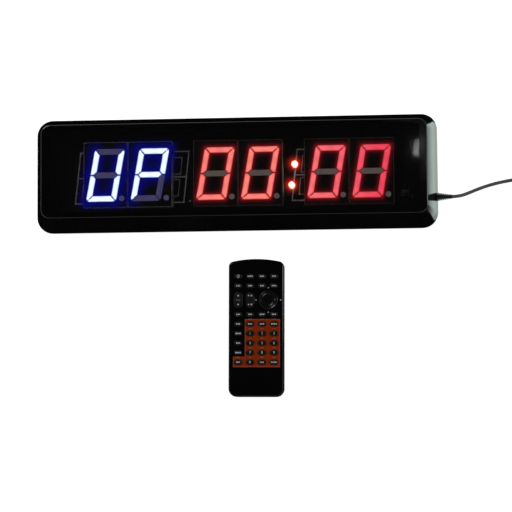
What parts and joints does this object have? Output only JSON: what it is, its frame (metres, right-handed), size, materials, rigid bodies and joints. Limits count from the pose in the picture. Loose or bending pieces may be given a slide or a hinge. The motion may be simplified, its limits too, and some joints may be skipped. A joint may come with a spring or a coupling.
{
  "type": "gym round timer",
  "caption": "Wall-hung LED interval timer with blue and red seven-bar digits behind a smoked lens, USB supply lead and infrared remote control.",
  "frame": {"origin": "centre of the timer's flat back face, which lies on the table and hangs against a wall", "axes": "+X along the display to the viewer's right, +Y up the display, +Z out of the display"},
  "size_m": [0.4704, 0.2442, 0.04],
  "materials": {
    "case_gloss": "polished black injection moulding",
    "lens_smoked": "smoked see-through acrylic",
    "cover_plastic": "fine-textured black moulding",
    "screw_steel": "zinc-plated steel",
    "board": "black solder mask with pale legend",
    "module_plastic": "black face ink over white moulding",
    "blue_light": "lit blue diffuser",
    "red_light": "lit red diffuser",
    "unlit_diffuser": "unlit milky epoxy",
    "red_lamp": "lit red lamp",
    "receiver_epoxy": "dark epoxy",
    "component_epoxy": "mixed small parts",
    "lead_rubber": "black flexible PVC",
    "cord_jacket": "grey-black PVC",
    "plug_plastic": "black moulded grip and plated shell",
    "remote_gloss": "polished black moulding",
    "remote_matte": "fine-textured black moulding",
    "key_rubber": "black silicone with pale printed marks",
    "cell_jacket": null,
    "contact_steel": "nickel-plated spring steel",
    "sender_epoxy": "clear tinted epoxy"
  },
  "bodies": {
    "timer": {"front_frame": "case_gloss", "display_lens": "lens_smoked", "rear_cover": "cover_plastic", "cover_screws": "screw_steel", "display_board": "board", "board_screws": "screw_steel", "digit_housings": "module_plastic", "lit_blue_segments": "blue_light", "lit_red_segments": "red_light", "unlit_segments": "unlit_diffuser", "colon_leds": "red_lamp", "ir_receiver": "receiver_epoxy", "board_components": "component_epoxy", "strain_relief": "lead_rubber", "power_cord": "cord_jacket", "cord_coil": "cord_jacket", "usb_plug": "plug_plastic"},
    "remote": {"remote_top_shell": "remote_gloss", "remote_bottom_shell": "remote_matte", "remote_board": "board", "remote_batteries": "cell_jacket", "battery_contacts": "contact_steel", "key_mat": "key_rubber", "remote_ir_led": "sender_epoxy"},
    "battery_door": {"battery_door": "remote_matte"},
    "key_row01_col1": {"key_row01_col1": "key_rubber"},
    "key_row01_col2": {"key_row01_col2": "key_rubber"},
    "key_row01_col3": {"key_row01_col3": "key_rubber"},
    "key_row01_col4": {"key_row01_col4": "key_rubber"},
    "key_row02_col1": {"key_row02_col1": "key_rubber"},
    "key_row02_col2": {"key_row02_col2": "key_rubber"},
    "key_row02_col3": {"key_row02_col3": "key_rubber"},
    "key_row02_col4": {"key_row02_col4": "key_rubber"},
    "key_row05_col1": {"key_row05_col1": "key_rubber"},
    "key_row05_col2": {"key_row05_col2": "key_rubber"},
    "key_row05_col3": {"key_row05_col3": "key_rubber"},
    "key_row05_col4": {"key_row05_col4": "key_rubber"},
    "key_row06_col1": {"key_row06_col1": "key_rubber"},
    "key_row06_col2": {"key_row06_col2": "key_rubber"},
    "key_row06_col3": {"key_row06_col3": "key_rubber"},
    "key_row06_col4": {"key_row06_col4": "key_rubber"},
    "key_row07_col1": {"key_row07_col1": "key_rubber"},
    "key_row07_col2": {"key_row07_col2": "key_rubber"},
    "key_row07_col3": {"key_row07_col3": "key_rubber"},
    "key_row07_col4": {"key_row07_col4": "key_rubber"},
    "key_row08_col1": {"key_row08_col1": "key_rubber"},
    "key_row08_col2": {"key_row08_col2": "key_rubber"},
    "key_row08_col3": {"key_row08_col3": "key_rubber"},
    "key_row08_col4": {"key_row08_col4": "key_rubber"},
    "key_row09_col1": {"key_row09_col1": "key_rubber"},
    "key_row09_col2": {"key_row09_col2": "key_rubber"},
    "key_row09_col3": {"key_row09_col3": "key_rubber"},
    "key_row09_col4": {"key_row09_col4": "key_rubber"},
    "key_row10_col1": {"key_row10_col1": "key_rubber"},
    "key_row10_col2": {"key_row10_col2": "key_rubber"},
    "key_row10_col3": {"key_row10_col3": "key_rubber"},
    "key_row10_col4": {"key_row10_col4": "key_rubber"},
    "left_rocker": {"left_rocker": "key_rubber"},
    "right_rocker": {"right_rocker": "key_rubber"},
    "nav_pad": {"nav_pad": "key_rubber"}
  },
  "joints": [
    {"name": "remote_lift", "type": "slide", "parent": "timer", "child": "remote", "axis": [0, 0, 1], "range_m": [0, 0.12]},
    {"name": "battery_door_slide", "type": "slide", "parent": "remote", "child": "battery_door", "axis": [-0.0105, -0.9999, 0], "range_m": [0, 0.065]},
    {"name": "key_row01_col1_press", "type": "slide", "parent": "remote", "child": "key_row01_col1", "axis": [0, 0, -1], "range_m": [0, 0.0006], "stiffness_N_per_m": 400},
    {"name": "key_row01_col2_press", "type": "slide", "parent": "remote", "child": "key_row01_col2", "axis": [0, 0, -1], "range_m": [0, 0.0006], "stiffness_N_per_m": 400},
    {"name": "key_row01_col3_press", "type": "slide", "parent": "remote", "child": "key_row01_col3", "axis": [0, 0, -1], "range_m": [0, 0.0006], "stiffness_N_per_m": 400},
    {"name": "key_row01_col4_press", "type": "slide", "parent": "remote", "child": "key_row01_col4", "axis": [0, 0, -1], "range_m": [0, 0.0006], "stiffness_N_per_m": 400},
    {"name": "key_row02_col1_press", "type": "slide", "parent": "remote", "child": "key_row02_col1", "axis": [0, 0, -1], "range_m": [0, 0.0006], "stiffness_N_per_m": 400},
    {"name": "key_row02_col2_press", "type": "slide", "parent": "remote", "child": "key_row02_col2", "axis": [0, 0, -1], "range_m": [0, 0.0006], "stiffness_N_per_m": 400},
    {"name": "key_row02_col3_press", "type": "slide", "parent": "remote", "child": "key_row02_col3", "axis": [0, 0, -1], "range_m": [0, 0.0006], "stiffness_N_per_m": 400},
    {"name": "key_row02_col4_press", "type": "slide", "parent": "remote", "child": "key_row02_col4", "axis": [0, 0, -1], "range_m": [0, 0.0006], "stiffness_N_per_m": 400},
    {"name": "key_row05_col1_press", "type": "slide", "parent": "remote", "child": "key_row05_col1", "axis": [0, 0, -1], "range_m": [0, 0.0006], "stiffness_N_per_m": 400},
    {"name": "key_row05_col2_press", "type": "slide", "parent": "remote", "child": "key_row05_col2", "axis": [0, 0, -1], "range_m": [0, 0.0006], "stiffness_N_per_m": 400},
    {"name": "key_row05_col3_press", "type": "slide", "parent": "remote", "child": "key_row05_col3", "axis": [0, 0, -1], "range_m": [0, 0.0006], "stiffness_N_per_m": 400},
    {"name": "key_row05_col4_press", "type": "slide", "parent": "remote", "child": "key_row05_col4", "axis": [0, 0, -1], "range_m": [0, 0.0006], "stiffness_N_per_m": 400},
    {"name": "key_row06_col1_press", "type": "slide", "parent": "remote", "child": "key_row06_col1", "axis": [0, 0, -1], "range_m": [0, 0.0006], "stiffness_N_per_m": 400},
    {"name": "key_row06_col2_press", "type": "slide", "parent": "remote", "child": "key_row06_col2", "axis": [0, 0, -1], "range_m": [0, 0.0006], "stiffness_N_per_m": 400},
    {"name": "key_row06_col3_press", "type": "slide", "parent": "remote", "child": "key_row06_col3", "axis": [0, 0, -1], "range_m": [0, 0.0006], "stiffness_N_per_m": 400},
    {"name": "key_row06_col4_press", "type": "slide", "parent": "remote", "child": "key_row06_col4", "axis": [0, 0, -1], "range_m": [0, 0.0006], "stiffness_N_per_m": 400},
    {"name": "key_row07_col1_press", "type": "slide", "parent": "remote", "child": "key_row07_col1", "axis": [0, 0, -1], "range_m": [0, 0.0006], "stiffness_N_per_m": 400},
    {"name": "key_row07_col2_press", "type": "slide", "parent": "remote", "child": "key_row07_col2", "axis": [0, 0, -1], "range_m": [0, 0.0006], "stiffness_N_per_m": 400},
    {"name": "key_row07_col3_press", "type": "slide", "parent": "remote", "child": "key_row07_col3", "axis": [0, 0, -1], "range_m": [0, 0.0006], "stiffness_N_per_m": 400},
    {"name": "key_row07_col4_press", "type": "slide", "parent": "remote", "child": "key_row07_col4", "axis": [0, 0, -1], "range_m": [0, 0.0006], "stiffness_N_per_m": 400},
    {"name": "key_row08_col1_press", "type": "slide", "parent": "remote", "child": "key_row08_col1", "axis": [0, 0, -1], "range_m": [0, 0.0006], "stiffness_N_per_m": 400},
    {"name": "key_row08_col2_press", "type": "slide", "parent": "remote", "child": "key_row08_col2", "axis": [0, 0, -1], "range_m": [0, 0.0006], "stiffness_N_per_m": 400},
    {"name": "key_row08_col3_press", "type": "slide", "parent": "remote", "child": "key_row08_col3", "axis": [0, 0, -1], "range_m": [0, 0.0006], "stiffness_N_per_m": 400},
    {"name": "key_row08_col4_press", "type": "slide", "parent": "remote", "child": "key_row08_col4", "axis": [0, 0, -1], "range_m": [0, 0.0006], "stiffness_N_per_m": 400},
    {"name": "key_row09_col1_press", "type": "slide", "parent": "remote", "child": "key_row09_col1", "axis": [0, 0, -1], "range_m": [0, 0.0006], "stiffness_N_per_m": 400},
    {"name": "key_row09_col2_press", "type": "slide", "parent": "remote", "child": "key_row09_col2", "axis": [0, 0, -1], "range_m": [0, 0.0006], "stiffness_N_per_m": 400},
    {"name": "key_row09_col3_press", "type": "slide", "parent": "remote", "child": "key_row09_col3", "axis": [0, 0, -1], "range_m": [0, 0.0006], "stiffness_N_per_m": 400},
    {"name": "key_row09_col4_press", "type": "slide", "parent": "remote", "child": "key_row09_col4", "axis": [0, 0, -1], "range_m": [0, 0.0006], "stiffness_N_per_m": 400},
    {"name": "key_row10_col1_press", "type": "slide", "parent": "remote", "child": "key_row10_col1", "axis": [0, 0, -1], "range_m": [0, 0.0006], "stiffness_N_per_m": 400},
    {"name": "key_row10_col2_press", "type": "slide", "parent": "remote", "child": "key_row10_col2", "axis": [0, 0, -1], "range_m": [0, 0.0006], "stiffness_N_per_m": 400},
    {"name": "key_row10_col3_press", "type": "slide", "parent": "remote", "child": "key_row10_col3", "axis": [0, 0, -1], "range_m": [0, 0.0006], "stiffness_N_per_m": 400},
    {"name": "key_row10_col4_press", "type": "slide", "parent": "remote", "child": "key_row10_col4", "axis": [0, 0, -1], "range_m": [0, 0.0006], "stiffness_N_per_m": 400},
    {"name": "left_rocker_tilt", "type": "hinge", "parent": "remote", "child": "left_rocker", "pos_m": [0.00204, -0.11116, 0.0146], "axis": [0.9999, -0.0105, 0], "range_deg": [-3, 3], "stiffness_Nm_per_rad": 0.1},
    {"name": "right_rocker_tilt", "type": "hinge", "parent": "remote", "child": "right_rocker", "pos_m": [0.01231, -0.11127, 0.0146], "axis": [0.9999, -0.0105, 0], "range_deg": [-3, 3], "stiffness_Nm_per_rad": 0.1},
    {"name": "nav_pad_tilt", "type": "hinge", "parent": "remote", "child": "nav_pad", "pos_m": [0.02795, -0.11144, 0.0146], "axis": [0.0105, 0.9999, 0], "range_deg": [-2.2, 2.2], "stiffness_Nm_per_rad": 0.1}
  ]
}
